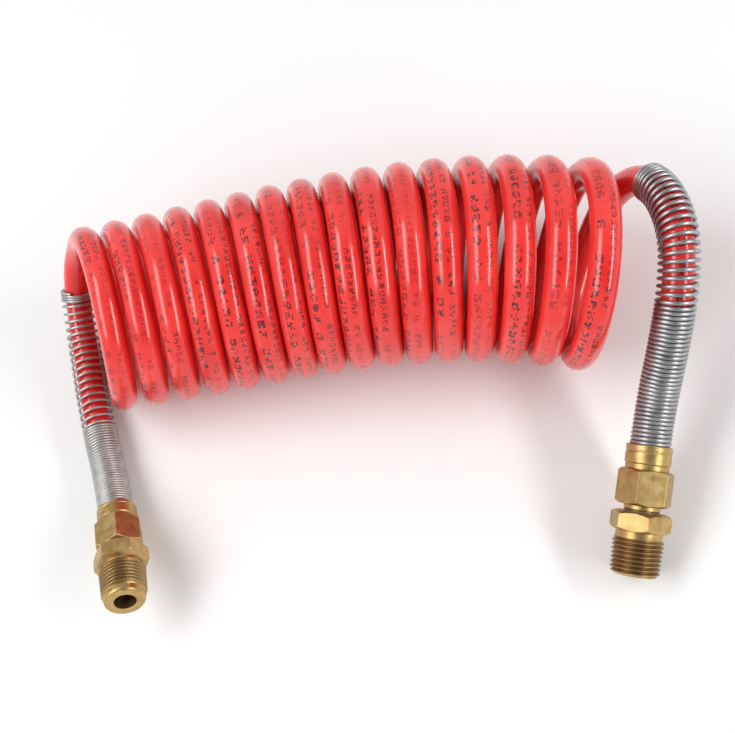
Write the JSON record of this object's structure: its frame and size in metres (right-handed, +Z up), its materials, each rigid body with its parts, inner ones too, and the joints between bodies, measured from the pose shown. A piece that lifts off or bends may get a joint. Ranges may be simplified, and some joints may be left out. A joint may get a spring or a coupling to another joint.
{
  "type": "coiled air brake hose assembly",
  "caption": "Coiled nylon air hose with spring guards over both leads, a rigid male pipe fitting at one end and a live swivel male fitting at the other.",
  "frame": {"origin": "on the plane that the assembly lies on, under the middle of the box round the two guarded ends", "axes": "+Z up, +X along the coil's axis from the rigid end to the swivel end, both leads run forwards towards -Y"},
  "size_m": [0.3134, 0.1953, 0.0873],
  "materials": {
    "hose_nylon": "smooth glossy red nylon tube, slightly translucent",
    "left_guard_wire": "matte zinc-plated spring wire",
    "right_guard_wire": "bright drawn spring wire",
    "brass": "machined brass with fine turning marks",
    "insert_brass": "plain turned brass",
    "ring_steel": "spring steel",
    "seal_rubber": "moulded black rubber",
    "washer_plastic": "bronze-filled low-friction plastic"
  },
  "bodies": {
    "left_end": {"hose_coil": "hose_nylon", "hose_lead_left": "hose_nylon", "left_connector_body": "brass", "left_compression_nut": "brass", "left_guard_collar": "brass", "left_ferrule": "insert_brass", "left_tube_insert": "insert_brass", "left_spring_guard": "left_guard_wire"},
    "right_end": {"hose_lead_right": "hose_nylon", "right_swivel_body": "brass", "right_compression_nut": "brass", "right_guard_collar": "brass", "right_ferrule": "insert_brass", "right_tube_insert": "insert_brass", "right_retaining_ring": "ring_steel", "right_spring_guard": "right_guard_wire"},
    "swivel_stem": {"right_swivel_stem": "brass", "right_front_o_ring": "seal_rubber", "right_rear_o_ring": "seal_rubber", "right_thrust_washer": "washer_plastic"}
  },
  "joints": [
    {"name": "coil_stretch", "type": "slide", "parent": "left_end", "child": "right_end", "axis": [1, 0, 0], "range_m": [0, 2.6], "stiffness_N_per_m": 40, "deforming": ["hose_coil"]},
    {"name": "right_swivel", "type": "hinge", "parent": "right_end", "child": "swivel_stem", "pos_m": [0.1262, -0.04485, 0.01815], "axis": [-0.1999, -0.9403, -0.2756], "continuous": true}
  ]
}
